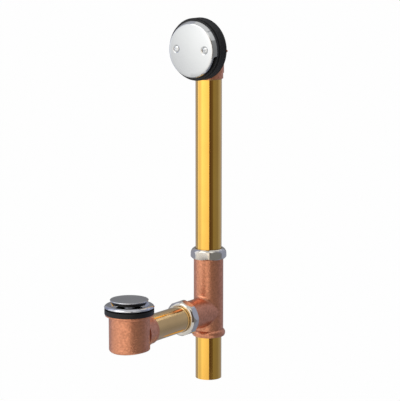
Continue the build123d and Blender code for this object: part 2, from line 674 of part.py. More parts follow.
# Overflow gasket: a thick rubber ring with a neck in front and moulded grooves round it
GASKET_BODY = GASKET_BACK_Y - GASKET_EDGE_Y
GASKET_DEPTH = GASKET_BACK_Y - GASKET_FRONT_Y
GASKET_FACE = bathward(GASKET_BACK_Y, OVERFLOW_Z)
with BuildPart() as overflow_gasket:
    with BuildSketch(section(GASKET_FACE)):
        Polygon(
            (0, 0),
            (GASKET_R - GASKET_BACK_BEVEL, 0),
            (GASKET_R, GASKET_BACK_BEVEL),
            (GASKET_R, GASKET_BODY - GASKET_EDGE_BEVEL),
            (GASKET_R - GASKET_EDGE_BEVEL, GASKET_BODY),
            (GASKET_NECK_R, GASKET_BODY),
            (GASKET_NECK_R, GASKET_DEPTH),
            (0, GASKET_DEPTH),
            align=None,
        )
    revolve(axis=axis_of(GASKET_FACE))
    groove_pitch = GASKET_BODY / (GASKET_GROOVES + 1)
    for index in range(GASKET_GROOVES):
        groove = groove_pitch * (index + 1)
        with BuildSketch(section(GASKET_FACE)):
            Polygon(
                (GASKET_R, groove - GASKET_GROOVE),
                (GASKET_R - GASKET_GROOVE, groove),
                (GASKET_R, groove + GASKET_GROOVE),
                align=None,
            )
        revolve(axis=axis_of(GASKET_FACE), mode=Mode.SUBTRACT)
    with BuildSketch(GASKET_FACE):
        Circle(GASKET_BORE_R)
        with Locations((-SCREW_X, SCREW_Z - OVERFLOW_Z), (SCREW_X, SCREW_Z - OVERFLOW_Z)):
            Circle(SCREW_HOLE_R)
    extrude(amount=GASKET_DEPTH, mode=Mode.SUBTRACT)
    with BuildSketch(upward(0, OVERFLOW_Z)):
        Circle(ELBOW_SOCKET_R + GASKET_RELIEF)
    extrude(amount=-GASKET_R, mode=Mode.SUBTRACT)

# Face plate: a pressed shell with a conical skirt, cut away below so that water can enter
PLATE_FACE = bathward(PLATE_RIM_Y, PLATE_Z)
PLATE_FLARE = (PLATE_RIM_R - PLATE_FACE_R) / PLATE_DEPTH
PLATE_CORNER_INSET = PLATE_T * (sqrt(1 + PLATE_FLARE**2) - PLATE_FLARE)


def plate_solid(face_r, depth, mode):
    """The plate's outer form or the hollow behind it, turned from the rim plane to a domed face."""
    rim_r = face_r + PLATE_FLARE * depth
    with BuildSketch(section(PLATE_FACE)) as profile:
        with BuildLine():
            Polyline((0, 0), (rim_r, 0), (face_r, depth))
            ThreePointArc(*dome(face_r, PLATE_DOME, depth))
            Line((0, depth + PLATE_DOME), (0, 0))
        make_face()
        fillet(profile.vertices().sort_by(Axis.X)[-2], PLATE_EDGE_R)
    revolve(profile.sketch, axis=axis_of(PLATE_FACE), mode=mode)


def screw_face(side):
    """The face plane of one screw, at the plate's rim: side is -1 or 1."""
    return Plane(origin=(side * SCREW_X, PLATE_RIM_Y, SCREW_Z), x_dir=(1, 0, 0), z_dir=(0, -1, 0))


with BuildPart() as face_plate:
    plate_solid(PLATE_FACE_R, PLATE_DEPTH, Mode.ADD)
    plate_solid(PLATE_FACE_R - PLATE_CORNER_INSET, PLATE_DEPTH - PLATE_T, Mode.SUBTRACT)
    with BuildSketch(Plane.YZ) as skirt_cut:
        with Locations((PLATE_RIM_Y - PLATE_CUT_DEPTH, PLATE_Z - PLATE_CUT_DROP)):
            Rectangle(2 * PLATE_DEPTH, 2 * PLATE_RIM_R, align=(Align.MIN, Align.MAX))
        fillet(skirt_cut.vertices().group_by(Axis.X)[0].sort_by(Axis.Y)[-1], PLATE_CUT_CORNER_R)
    extrude(amount=2 * PLATE_RIM_R, both=True, mode=Mode.SUBTRACT)
    for side in (-1, 1):
        with BuildSketch(section(screw_face(side))) as pressing:
            Polygon(
                (0, SCREW_SEAT - SCREW_HEAD_H),
                (SCREW_HOLE_R + PLATE_T, SCREW_SEAT - SCREW_HEAD_H),
                (SCREW_HEAD_R + PLATE_T, SCREW_SEAT - PLATE_T),
                (PRESSING_R, PRESSING_TOP),
                (0, PRESSING_TOP),
                align=None,
            )
        revolve(pressing.sketch, axis=axis_of(screw_face(side)))
        with BuildSketch(section(screw_face(side))) as dimple:
            Polygon(
                (0, 0),
                (SCREW_HOLE_R, 0),
                (SCREW_HOLE_R, SCREW_SEAT - SCREW_HEAD_H + DIMPLE_LAND),
                (SCREW_HEAD_R + DIMPLE_LAND, SCREW_SEAT),
                (DIMPLE_R, DIMPLE_RIM),
                (DIMPLE_R, DIMPLE_RIM + PLATE_T),
                (0, DIMPLE_RIM + PLATE_T),
                align=None,
            )
        revolve(dimple.sketch, axis=axis_of(screw_face(side)), mode=Mode.SUBTRACT)

# Face plate screws: two oval-head screws that reach the lugs of the overflow elbow
SCREW_HEAD_TOP = SCREW_SEAT + SCREW_HEAD_CROWN
SCREW_END = SCREW_SEAT - SCREW_LENGTH
with BuildPart() as face_plate_screws:
    for side in (-1, 1):
        with BuildSketch(section(screw_face(side))):
            with BuildLine():
                Polyline(
                    (0, SCREW_HEAD_TOP),
                    (0, SCREW_END),
                    (SCREW_R - SCREW_TIP, SCREW_END),
                    (SCREW_R, SCREW_END + SCREW_TIP),
                    (SCREW_R, SCREW_SEAT - SCREW_HEAD_H + 2 * DIMPLE_LAND),
                    (SCREW_HEAD_R, SCREW_SEAT),
                )
                ThreePointArc(*dome(SCREW_HEAD_R, SCREW_HEAD_CROWN, SCREW_SEAT))
            make_face()
        revolve(axis=axis_of(screw_face(side)))
        with BuildSketch(screw_face(side).offset(SCREW_SEAT)):
            Rectangle(2 * SCREW_HEAD_R, SCREW_SLOT_W, rotation=SCREW_SLOT_TURN * side)
        extrude(amount=2 * SCREW_HEAD_CROWN, mode=Mode.SUBTRACT)

pieces = {
    "tailpiece": tailpiece,
    "tee": tee,
    "overflow_slip_nut": overflow_slip_nut,
    "overflow_slip_washer": overflow_slip_washer,
    "overflow_friction_ring": overflow_friction_ring,
    "overflow_tube": overflow_tube,
    "overflow_elbow": overflow_elbow,
    "overflow_gasket": overflow_gasket,
    "face_plate": face_plate,
    "face_plate_screws": face_plate_screws,
    "waste_slip_nut": waste_slip_nut,
    "waste_slip_washer": waste_slip_washer,
    "waste_friction_ring": waste_friction_ring,
    "waste_tube": waste_tube,
    "shoe": shoe,
    "shoe_gasket": shoe_gasket,
    "drain_flange": drain_flange,
    "stopper_cap": stopper_cap,
    "stopper_seal": stopper_seal,
    "seal_retainer": seal_retainer,
    "stopper_sleeve": stopper_sleeve,
    "stopper_post": stopper_post,
    "latch_collar": latch_collar,
    "retaining_clip": retaining_clip,
    "stopper_spring": stopper_spring,
}
for name, piece in pieces.items():
    piece.part.label = name
    export_step(piece.part, f"parts/{name}.step")
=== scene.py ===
"""Dresses a bath waste and overflow: its finishes, its soldered joints, a plain studio and the camera."""

import logging
from dataclasses import dataclass
from enum import Enum
from math import cos, hypot, pi, radians, sin
from typing import Any, Callable

import bpy
from mathutils import Matrix, Vector


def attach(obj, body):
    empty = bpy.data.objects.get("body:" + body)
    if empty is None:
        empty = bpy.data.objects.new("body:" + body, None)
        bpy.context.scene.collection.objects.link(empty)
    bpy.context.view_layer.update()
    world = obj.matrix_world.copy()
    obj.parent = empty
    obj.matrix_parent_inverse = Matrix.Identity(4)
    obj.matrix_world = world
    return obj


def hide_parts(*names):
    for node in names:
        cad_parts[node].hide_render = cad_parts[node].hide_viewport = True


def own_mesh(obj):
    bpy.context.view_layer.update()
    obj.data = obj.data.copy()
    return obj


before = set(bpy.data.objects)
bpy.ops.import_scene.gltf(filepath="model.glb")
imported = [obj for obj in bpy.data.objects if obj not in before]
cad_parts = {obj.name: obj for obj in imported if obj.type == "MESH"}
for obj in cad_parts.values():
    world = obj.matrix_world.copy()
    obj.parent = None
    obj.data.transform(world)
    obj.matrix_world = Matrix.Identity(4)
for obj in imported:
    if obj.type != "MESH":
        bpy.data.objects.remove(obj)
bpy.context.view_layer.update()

log = logging.getLogger("bath_waste")

MM = 0.001
DRAIN_BODY = "drain_body"

# The drain's upright axis lies this far towards the bath from the overflow tube's.
DRAIN_Y_MM = -188.9

WHITE = (1.0, 1.0, 1.0, 1.0)

# A Mix node's colour sockets share their names with its others, so they go by number.
MIX_FIRST, MIX_SECOND, MIX_RESULT = 6, 7, 2

# Nearly all of a noise lies between the low and the high value, and patches start a little above the low one.
NOISE_LOW, PATCH_START, NOISE_HIGH = 0.3, 0.35, 0.7

# How many finer noises are laid over a noise.
PLAIN_DETAIL, FINE_DETAIL = 2.0, 3.0

# The turn in radians that a wave texture's rings make in one unit of length, at a scale of 1.
WAVE_TURN = 20.0


class Along(Enum):
    """The way a tube runs in the frame: upright, or level towards the bath."""

    UP = "up"
    BATHWARD = "bathward"


def linear(hex_colour: str) -> tuple[float, float, float, float]:
    """Turns an sRGB hex colour into the linear colour that a shader takes, by the curve of the sRGB standard.

    Args:
        hex_colour: a colour such as "#E2AE4C".

    Returns:
        Red, green, blue and an alpha of 1.
    """
    parts = [int(hex_colour[i : i + 2], 16) / 255 for i in (1, 3, 5)]
    red, green, blue = (c / 12.92 if c <= 0.04045 else ((c + 0.055) / 1.055) ** 2.4 for c in parts)
    return red, green, blue, 1.0


def add_node(
    tree: bpy.types.NodeTree, kind: str, inputs: dict[str | int, Any] | None = None, **settings: Any
) -> bpy.types.Node:
    """Adds one node with its settings, and links or fills its inputs.

    Args:
        tree: the node tree of a material or of the world.
        kind: the node's type, such as "ShaderNodeBump".
        inputs: for each input's name or number, the socket that feeds it or the value it holds.
        settings: the node's own settings, such as operation="MULTIPLY".

    Returns:
        The new node.
    """
    node = tree.nodes.new(kind)
    for key, value in settings.items():
        setattr(node, key, value)
    for key, value in (inputs or {}).items():
        if isinstance(value, bpy.types.NodeSocket):
            tree.links.new(value, node.inputs[key])
        else:
            node.inputs[key].default_value = value
    return node


@dataclass(frozen=True)
class Finish:
    """What a surface is made of, and what that looks like.

    Its colour varies to the shade in patches of patch_mm, by patch_share at most, and its roughness wanders
    by haze either way.
    """

    name: str
    colour: str
    shade: str
    roughness: float
    metallic: float = 1.0
    haze: float = 0.04
    patch_mm: float = 18.0
    patch_share: float = 0.5

    def make(self) -> bpy.types.Material:
        """Builds the material.

        Returns:
            The material, its patches, roughness and relief all worked from Object coordinates.
        """
        material = bpy.data.materials.new(self.name)
        material.use_nodes = True
        tree = material.node_tree
        tree.nodes.clear()
        place = add_node(tree, "ShaderNodeTexCoord").outputs["Object"]
        patches = add_node(
            tree,
            "ShaderNodeTexNoise",
            {"Vector": place, "Scale": 1 / (self.patch_mm * MM), "Detail": FINE_DETAIL},
        ).outputs["Fac"]
        share = add_node(
            tree,
            "ShaderNodeMapRange",
            {"Value": patches, "From Min": PATCH_START, "From Max": NOISE_HIGH, "To Max": self.patch_share},
        ).outputs["Result"]
        colour = add_node(
            tree,
            "ShaderNodeMix",
            {"Factor": share, MIX_FIRST: linear(self.colour), MIX_SECOND: linear(self.shade)},
            data_type="RGBA",
        ).outputs[MIX_RESULT]
        rough = add_node(
            tree,
            "ShaderNodeMapRange",
            {
                "Value": patches,
                "From Min": NOISE_LOW,
                "From Max": NOISE_HIGH,
                "To Min": max(self.roughness - self.haze, 0.0),
                "To Max": self.roughness + self.haze,
            },
        ).outputs["Result"]
        shader = add_node(
            tree,
            "ShaderNodeBsdfPrincipled",
            {
                "Base Color": colour,
                "Roughness": rough,
                "Metallic": self.metallic,
                "Normal": self.relief(tree, place),
            },
        )
        self.tune(shader)
        add_node(tree, "ShaderNodeOutputMaterial", {"Surface": shader.outputs["BSDF"]})
        return material

    def relief(self, tree: bpy.types.NodeTree, place: bpy.types.NodeSocket) -> bpy.types.NodeSocket:
        """Gives the surface its small relief.

        Args:
            tree: the material's nodes.
            place: the Object coordinates.

        Returns:
            The socket with the surface's normal.
        """
        raise NotImplementedError

    def tune(self, shader: bpy.types.Node) -> None:
        """Sets what this finish alone needs on the shader; most need nothing."""

    @staticmethod
    def bumps(
        tree: bpy.types.NodeTree,
        place: bpy.types.NodeSocket,
        size_mm: float,
        depth_mm: float,
        detail: float = PLAIN_DETAIL,
        under: bpy.types.NodeSocket | None = None,
    ) -> bpy.types.NodeSocket:
        """Raises soft bumps of one size.

        Args:
            tree: the material's nodes.
            place: the Object coordinates.
            size_mm: how far apart the bumps are.
            depth_mm: how high they stand.
            detail: how many finer noises are laid over them.
            under: the normal of the relief that they stand on, if there is one.

        Returns:
            The socket with the surface's normal.
        """
        noise = add_node(
            tree, "ShaderNodeTexNoise", {"Vector": place, "Scale": 1 / (size_mm * MM), "Detail": detail}
        )
        inputs: dict[str | int, Any] = {"Height": noise.outputs["Fac"], "Distance": depth_mm * MM}
        if under is not None:
            inputs["Normal"] = under
        return add_node(tree, "ShaderNodeBump", inputs).outputs["Normal"]


@dataclass(frozen=True)
class DrawnTube(Finish):
    """Brass tube, drawn through a die and bright dipped.

    It gives the eye a mirror-like warm gold with hairline streaks that run along the tube, under a clear
    lacquer that pales it a little where it turns away.
    """

    along: Along = Along.UP
    line_mm: float = 0.9
    run_mm: float = 160.0
    depth_mm: float = 0.004
    lacquer: float = 0.7
    lacquer_roughness: float = 0.1

    def tune(self, shader: bpy.types.Node) -> None:
        """Lays the lacquer over the brass."""
        shader.inputs["Coat Weight"].default_value = self.lacquer
        shader.inputs["Coat Roughness"].default_value = self.lacquer_roughness

    def relief(self, tree: bpy.types.NodeTree, place: bpy.types.NodeSocket) -> bpy.types.NodeSocket:
        """Adds the die's hairlines, drawn some ten times as coarse as life so that they show.

        Args:
            tree: the material's nodes.
            place: the Object coordinates.

        Returns:
            The socket with the surface's normal.
        """
        across, length = 1 / (self.line_mm * MM), 1 / (self.run_mm * MM)
        scale = (across, across, length) if self.along is Along.UP else (across, length, across)
        stretched = add_node(tree, "ShaderNodeMapping", {"Vector": place, "Scale": scale}).outputs["Vector"]
        lines = add_node(
            tree, "ShaderNodeTexNoise", {"Vector": stretched, "Scale": 1.0, "Detail": PLAIN_DETAIL}
        )
        return add_node(
            tree, "ShaderNodeBump", {"Height": lines.outputs["Fac"], "Distance": self.depth_mm * MM}
        ).outputs["Normal"]


@dataclass(frozen=True)
class SandCasting(Finish):
    """Red brass cast in sand and pickled.

    It gives the eye a dull copper colour with the pebbled skin that the sand leaves. A thin oxide scatters a
    part of the light, so it isn't a full metal.
    """

    grain_mm: float = 2.6
    grain_depth_mm: float = 0.36
    swell_mm: float = 9.0
    swell_depth_mm: float = 0.1

    def relief(self, tree: bpy.types.NodeTree, place: bpy.types.NodeSocket) -> bpy.types.NodeSocket:
        """Adds the sand's pebbles over the slow swell of the mould.

        Grains of sand are about 0.3 mm, less than the render shows, so they are drawn as coarse as they need
        to show.

        Args:
            tree: the material's nodes.
            place: the Object coordinates.

        Returns:
            The socket with the surface's normal.
        """
        swollen = self.bumps(tree, place, self.swell_mm, self.swell_depth_mm)
        return self.bumps(tree, place, self.grain_mm, self.grain_depth_mm, FINE_DETAIL, swollen)


@dataclass(frozen=True)
class ChromePlating(Finish):
    """Nickel and chrome plated over polished brass or zinc.

    It gives the eye a cold mirror whose reflections waver a little where the buffing wheel went.
    """

    wave_mm: float = 7.0
    depth_mm: float = 0.006
    edge_mm: float = 0.25
    edge_samples: int = 4

    def relief(self, tree: bpy.types.NodeTree, place: bpy.types.NodeSocket) -> bpy.types.NodeSocket:
        """Adds the buffed waver, over edges that the plating has rounded.

        Args:
            tree: the material's nodes.
            place: the Object coordinates.

        Returns:
            The socket with the surface's normal.
        """
        edges = add_node(tree, "ShaderNodeBevel", {"Radius": self.edge_mm * MM}, samples=self.edge_samples)
        return self.bumps(tree, place, self.wave_mm, self.depth_mm, under=edges.outputs["Normal"])


@dataclass(frozen=True)
class MouldedRubber(Finish):
    """Black nitrile rubber, moulded against blasted steel.

    It gives the eye a near black with a soft dull shine and a fine tooth.
    """

    tooth_mm: float = 0.7
    depth_mm: float = 0.03
    shine: float = 0.28

    def tune(self, shader: bpy.types.Node) -> None:
        """Keeps the rubber's shine low."""
        shader.inputs["Specular IOR Level"].default_value = self.shine

    def relief(self, tree: bpy.types.NodeTree, place: bpy.types.NodeSocket) -> bpy.types.NodeSocket:
        """Adds the tooth that the blasted mould leaves, drawn coarser than life so that it shows.

        Args:
            tree: the material's nodes.
            place: the Object coordinates.

        Returns:
            The socket with the surface's normal.
        """
        return self.bumps(tree, place, self.tooth_mm, self.depth_mm)


@dataclass(frozen=True)
class TurnedMetal(Finish):
    """Bar turned on a lathe, or wire drawn through a die.

    It gives the eye a satin shine with the fine rings that the tool or the die leaves.
    """

    centre_y_mm: float = DRAIN_Y_MM
    feed_mm: float = 0.4
    depth_mm: float = 0.01
    waver: float = 0.4

    def relief(self, tree: bpy.types.NodeTree, place: bpy.types.NodeSocket) -> bpy.types.NodeSocket:
        """Adds the tool's rings, drawn coarser than life so that they show.

        They are shells round the foot of the drain's axis, which cross a small piece nearly as rings do.

        Args:
            tree: the material's nodes.
            place: the Object coordinates.

        Returns:
            The socket with the surface's normal.
        """
        centred = add_node(
            tree, "ShaderNodeMapping", {"Vector": place, "Location": (0.0, -self.centre_y_mm * MM, 0.0)}
        )
        rings = add_node(
            tree,
            "ShaderNodeTexWave",
            {
                "Vector": centred.outputs["Vector"],
                "Scale": 2 * pi / (WAVE_TURN * self.feed_mm * MM),
                "Distortion": self.waver,
            },
            wave_type="RINGS",
            rings_direction="SPHERICAL",
        )
        return add_node(
            tree, "ShaderNodeBump", {"Height": rings.outputs["Fac"], "Distance": self.depth_mm * MM}
        ).outputs["Normal"]


@dataclass(frozen=True)
class MouldedNylon(Finish):
    """Natural nylon, injection moulded. It gives the eye a waxy, slightly see-through cream."""

    tooth_mm: float = 0.6
    depth_mm: float = 0.01
    inner_light: float = 0.2
    inner_reach_mm: tuple[float, float, float] = (2.0, 1.8, 1.5)
    ior: float = 1.53

    def relief(self, tree: bpy.types.NodeTree, place: bpy.types.NodeSocket) -> bpy.types.NodeSocket:
        """Adds the faint tooth of the mould, drawn coarser than life so that it shows.

        Args:
            tree: the material's nodes.
            place: the Object coordinates.

        Returns:
            The socket with the surface's normal.
        """
        return self.bumps(tree, place, self.tooth_mm, self.depth_mm)

    def tune(self, shader: bpy.types.Node) -> None:
        """Lets a little light into the nylon.

        Args:
            shader: the material's main shader.
        """
        shader.inputs["Subsurface Weight"].default_value = self.inner_light
        shader.inputs["Subsurface Radius"].default_value = [reach * MM for reach in self.inner_reach_mm]
        shader.inputs["IOR"].default_value = self.ior


UPRIGHT_BRASS = DrawnTube("drawn_brass_upright", "#E8B64C", "#DDA842", 0.08, patch_mm=40)
# The level tube's brass is the upright tubes' brass drawn greyer and a little darker: painted shade for the
# duller light that a level tube takes.
LEVEL_BRASS = DrawnTube("drawn_brass_level", "#D6AE6A", "#C69E5C", 0.13, patch_mm=40, along=Along.BATHWARD)
CAST_BRASS = SandCasting(
    "sand_cast_red_brass", "#D59170", "#9F6A50", 0.35, 0.9, haze=0.09, patch_mm=3.2, patch_share=0.6
)
PLATED_NUT = ChromePlating("chrome_plated_nut", "#C4BFB6", "#B8B3AA", 0.11, depth_mm=0.012, edge_mm=0.5)
PLATED_PLATE = ChromePlating("chrome_plated_pressing", "#C2C3C3", "#BDBEBF", 0.09, patch_mm=30, edge_mm=1.8)
PLATED_DRAIN = ChromePlating("chrome_plated_casting", "#B5B6BA", "#ACADB2", 0.12, patch_mm=12, edge_mm=0.4)
RUBBER = MouldedRubber("moulded_black_rubber", "#0E0E0F", "#19191A", 0.5, metallic=0.0, patch_mm=6)
TREAD_RUBBER = MouldedRubber("moulded_tread_rubber", "#161617", "#242425", 0.46, metallic=0.0, patch_mm=6)
TURNED_BRASS = TurnedMetal("turned_brass", "#A98548", "#8C6C38", 0.32, patch_mm=8)
SPRING_STEEL = TurnedMetal("drawn_spring_steel", "#B9BABD", "#A3A4A8", 0.24, patch_mm=3)
NYLON = MouldedNylon("moulded_nylon", "#E0DCCF", "#D6D1C2", 0.38, metallic=0.0, patch_mm=6)
# Solder sets with a fine ripple and a thin oxide, so it is made as a casting is, with a smaller grain.
SILVER_SOLDER = SandCasting(
    "flowed_silver_solder", "#B99C6C", "#9A7C50", 0.34, patch_mm=2, grain_mm=1.2, grain_depth_mm=0.03
)


class Wardrobe:
    """Makes each finish once and dresses meshes in it."""

    def __init__(self) -> None:
        """Starts with nothing made."""
        self.made: dict[str, bpy.types.Material] = {}

    def dress(self, piece: bpy.types.Object, finish: Finish) -> None:
        """Puts a finish on a piece, in place of whatever it had.

        Args:
            piece: a CAD node's object or a new piece.
            finish: what it is made of.
        """
        if finish.name not in self.made:
            self.made[finish.name] = finish.make()
        slots = piece.data.materials
        if not slots:
            slots.append(self.made[finish.name])
        for index in range(len(slots)):
            slots[index] = self.made[finish.name]

    def dress_nodes(self, finishes: dict[str, Finish]) -> None:
        """Dresses CAD nodes and reports each.

        Args:
            finishes: the finish of each node, by the node's name.
        """
        for node, finish in finishes.items():
            self.dress(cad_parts[node], finish)
            log.info("%s: %s", node, finish.name)


@dataclass(frozen=True)
class SolderFillet:
    """The collar of solder that creeps out of a socket's mouth, round a tube.

    It reaches leg_mm off the tube and leg_mm along it, and bite_mm into the metal, so that no gap shows. As
    shares of the leg, hollow is where the middle of its curve lies and lip is what stays square at both ends.
    """

    name: str
    centre_mm: tuple[float, float, float]
    along: Along
    tube_r_mm: float = 19.05
    leg_mm: float = 1.1
    hollow: float = 0.42
    lip: float = 0.1
    bite_mm: float = 0.12
    steps: int = 112
    merge_mm: float = 0.01
    edge_mm: float = 0.08
    edge_segments: int = 2
    crease_deg: float = 40.0

    def build(self) -> bpy.types.Object:
        """Extrudes a ring round the fillet's hollow section and closes it.

        Returns:
            The fillet, its place in its mesh.
        """
        inner = self.tube_r_mm - self.bite_mm
        outer = self.tube_r_mm + self.leg_mm
        knee = self.leg_mm * self.hollow
        lip = self.leg_mm * self.lip
        # Each row is a radius, and a distance out of the socket's mouth.
        section = [
            (inner, -self.bite_mm),
            (outer, -self.bite_mm),
            (outer, lip),
            (self.tube_r_mm + knee, knee),
            (self.tube_r_mm + lip, self.leg_mm),
            (inner, self.leg_mm),
            (inner, -self.bite_mm),
        ]
        centre = Vector(self.centre_mm) * MM
        upright = self.along is Along.UP
        way_out = Vector((0, 0, -1)) if upright else Vector((0, 1, 0))
        first_r, first_out = section[0]
        bpy.ops.object.select_all(action="DESELECT")
        bpy.ops.mesh.primitive_circle_add(
            vertices=self.steps,
            radius=first_r * MM,
            location=centre + way_out * first_out * MM,
            rotation=(0, 0, 0) if upright else (pi / 2, 0, 0),
        )
        piece = bpy.context.object
        piece.name = self.name
        bpy.ops.object.mode_set(mode="EDIT")
        bpy.ops.mesh.select_all(action="SELECT")
        for (old_r, old_out), (new_r, new_out) in zip(section, section[1:]):
            bpy.ops.mesh.extrude_edges_indiv()
            bpy.ops.transform.translate(value=way_out * (new_out - old_out) * MM)
            ratio = new_r / old_r
            ring_centre = centre + way_out * new_out * MM
            bpy.ops.transform.resize(value=(ratio, ratio, ratio), center_override=ring_centre)
        bpy.ops.mesh.select_all(action="SELECT")
        bpy.ops.mesh.remove_doubles(threshold=self.merge_mm * MM)
        bpy.ops.mesh.normals_make_consistent(inside=False)
        bpy.ops.object.mode_set(mode="OBJECT")
        bpy.ops.object.transform_apply(location=True, rotation=True, scale=True)
        bpy.ops.object.modifier_add(type="BEVEL")
        edges = piece.modifiers[-1]
        edges.width = self.edge_mm * MM
        edges.segments = self.edge_segments
        edges.limit_method = "ANGLE"
        bpy.ops.object.modifier_apply(modifier=edges.name)
        bpy.ops.object.shade_smooth_by_angle(angle=radians(self.crease_deg))
        return piece


@dataclass
class OverflowHead:
    """The face plate and its screws, the gasket, the elbow and the tube's upper joint.

    A face is on the gasket's wall where it lies within wall_near_mm of it and its normal has no more than
    wall_tilt along the axis. Two triangles there make one step of the tread where they lie within
    pair_tilt_deg of flat and pair_skew_deg of square.
    """

    socket_mouth_z_mm: float = 442.4
    axis_z_mm: float = 486.0
    plate_crease_deg: float = 24.0
    gasket_r_mm: float = 44.5
    wall_near_mm: float = 0.03
    wall_tilt: float = 0.05
    pair_tilt_deg: float = 2.0
    pair_skew_deg: float = 60.0
    pocket_rib_mm: float = 0.4
    pocket_depth_mm: float = 0.35
    gasket_crease_deg: float = 30.0

    def build(self, wardrobe: Wardrobe) -> None:
        """Dresses the head and solders the elbow to the tube.

        Args:
            wardrobe: what makes and puts on the finishes.
        """
        wardrobe.dress_nodes(
            {
                "face_plate_screws": PLATED_PLATE,
                "overflow_elbow": CAST_BRASS,
                "overflow_tube": UPRIGHT_BRASS,
            }
        )
        stand_in(self.press_plate(), "face_plate", PLATED_PLATE, wardrobe)
        stand_in(self.mould_gasket(), "overflow_gasket", TREAD_RUBBER, wardrobe)
        add_fillet(SolderFillet("elbow_solder", (0, 0, self.socket_mouth_z_mm), Along.UP), wardrobe)

    def press_plate(self) -> bpy.types.Object:
        """Makes the plate as one closed skin, so that its dome mirrors without a flaw at the centre.

        Returns:
            The plate, smooth but for its creases.
        """
        plate = merged_copy("face_plate", "pressed_face_plate")
        bpy.ops.object.shade_smooth_by_angle(angle=radians(self.plate_crease_deg))
        return plate

    def mould_gasket(self) -> bpy.types.Object:
        """Moulds the tread round the gasket: a shallow pocket in each step of every band between its grooves.

        Returns:
            The gasket, no wider than the CAD one.
        """
        gasket = merged_copy("overflow_gasket", "ribbed_overflow_gasket")
        wall_r = (self.gasket_r_mm - self.wall_near_mm) * MM
        axis_z = self.axis_z_mm * MM

        def on_wall(centre: Vector, normal: Vector) -> bool:
            """Tells whether a face lies on the outermost wall."""
            return hypot(centre.x, centre.z - axis_z) > wall_r and abs(normal.y) < self.wall_tilt

        select_faces(gasket, on_wall)
        bpy.ops.mesh.tris_convert_to_quads(
            face_threshold=radians(self.pair_tilt_deg), shape_threshold=radians(self.pair_skew_deg)
        )
        bpy.ops.mesh.inset(
            thickness=self.pocket_rib_mm * MM, depth=-self.pocket_depth_mm * MM, use_individual=True
        )
        bpy.ops.object.mode_set(mode="OBJECT")
        bpy.ops.object.shade_smooth_by_angle(angle=radians(self.gasket_crease_deg))
        return gasket


@dataclass
class TeeJoint:
    """The tee, its two slip joints and the tailpiece."""

    socket_mouth_z_mm: float = 63.7

    def build(self, wardrobe: Wardrobe) -> None:
        """Dresses the tee's pieces and solders the tailpiece in.

        Args:
            wardrobe: what makes and puts on the finishes.
        """
        wardrobe.dress_nodes(
            {
                "tee": CAST_BRASS,
                "tailpiece": UPRIGHT_BRASS,
                "overflow_slip_nut": PLATED_NUT,
                "waste_slip_nut": PLATED_NUT,
                "overflow_slip_washer": RUBBER,
                "waste_slip_washer": RUBBER,
                "overflow_friction_ring": TURNED_BRASS,
                "waste_friction_ring": TURNED_BRASS,
            }
        )
        add_fillet(SolderFillet("tailpiece_solder", (0, 0, self.socket_mouth_z_mm), Along.UP), wardrobe)


@dataclass
class DrainShoe:
    """The shoe with its waste tube, gasket and drain flange."""

    socket_mouth_y_mm: float = -147.0
    waste_z_mm: float = 101.4

    def build(self, wardrobe: Wardrobe) -> None:
        """Dresses the shoe's pieces and solders the waste tube in.

        Args:
            wardrobe: what makes and puts on the finishes.
        """
        wardrobe.dress_nodes(
            {
                "shoe": CAST_BRASS,
                "waste_tube": LEVEL_BRASS,
                "shoe_gasket": RUBBER,
                "drain_flange": PLATED_DRAIN,
            }
        )
        mouth = (0, self.socket_mouth_y_mm, self.waste_z_mm)
        add_fillet(SolderFillet("neck_solder", mouth, Along.BATHWARD), wardrobe)


@dataclass
class ToeTouchStopper:
    """The stopper that rises on its spring, and the post that it slides on."""

    travel_mm: float = 6.0
    spring_foot_z_mm: float = 136.1
    spring_rise_mm: float = 11.1
    coil_r_mm: float = 4.9
    wire_r_mm: float = 0.45
    coils: int = 5
    steps_a_coil: int = 40
    wire_sides: int = 12
    crease_deg: float = 40.0

    def build(self, wardrobe: Wardrobe) -> None:
        """Dresses the stopper's pieces and winds its spring.

        Args:
            wardrobe: what makes and puts on the finishes.
        """
        wardrobe.dress_nodes(
            {
                "stopper_cap": PLATED_DRAIN,
                "stopper_seal": RUBBER,
                "seal_retainer": PLATED_DRAIN,
                "stopper_sleeve": PLATED_DRAIN,
                "stopper_post": TURNED_BRASS,
                "latch_collar": NYLON,
                "retaining_clip": SPRING_STEEL,
            }
        )
        spring = self.wind_spring()
        stand_in(spring, "stopper_spring", SPRING_STEEL, wardrobe)
        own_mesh(spring)

    def wind_spring(self) -> bpy.types.Object:
        """Winds the wire's round section up the drain's axis and closes its two cut ends.

        Returns:
            The spring, its place in its mesh.
        """
        bpy.ops.object.select_all(action="DESELECT")
        bpy.ops.mesh.primitive_circle_add(
            vertices=self.wire_sides,
            radius=self.wire_r_mm * MM,
            location=(0, DRAIN_Y_MM * MM, self.spring_foot_z_mm * MM),
            rotation=(pi / 2, 0, 0),
        )
        spring = bpy.context.object
        spring.name = "wound_stopper_spring"
        bpy.ops.object.transform_apply(location=False, rotation=True, scale=False)
        bpy.ops.object.mode_set(mode="EDIT")
        bpy.ops.mesh.select_all(action="SELECT")
        bpy.ops.transform.translate(value=(self.coil_r_mm * MM, 0, 0))
        bpy.ops.object.mode_set(mode="OBJECT")
        bpy.ops.object.modifier_add(type="SCREW")
        winding = spring.modifiers[-1]
        winding.screw_offset = self.spring_rise_mm / self.coils * MM
        winding.iterations = self.coils
        winding.steps = self.steps_a_coil
        winding.render_steps = self.steps_a_coil
        bpy.ops.object.modifier_apply(modifier=winding.name)
        bpy.ops.object.transform_apply(location=True, rotation=False, scale=False)
        bpy.ops.object.mode_set(mode="EDIT")
        bpy.ops.mesh.select_all(action="SELECT")
        # With 0 sides, a hole with any number of sides is filled.
        bpy.ops.mesh.fill_holes(sides=0)
        bpy.ops.mesh.normals_make_consistent(inside=False)
        bpy.ops.object.mode_set(mode="OBJECT")
        bpy.ops.object.shade_smooth_by_angle(angle=radians(self.crease_deg))
        return spring


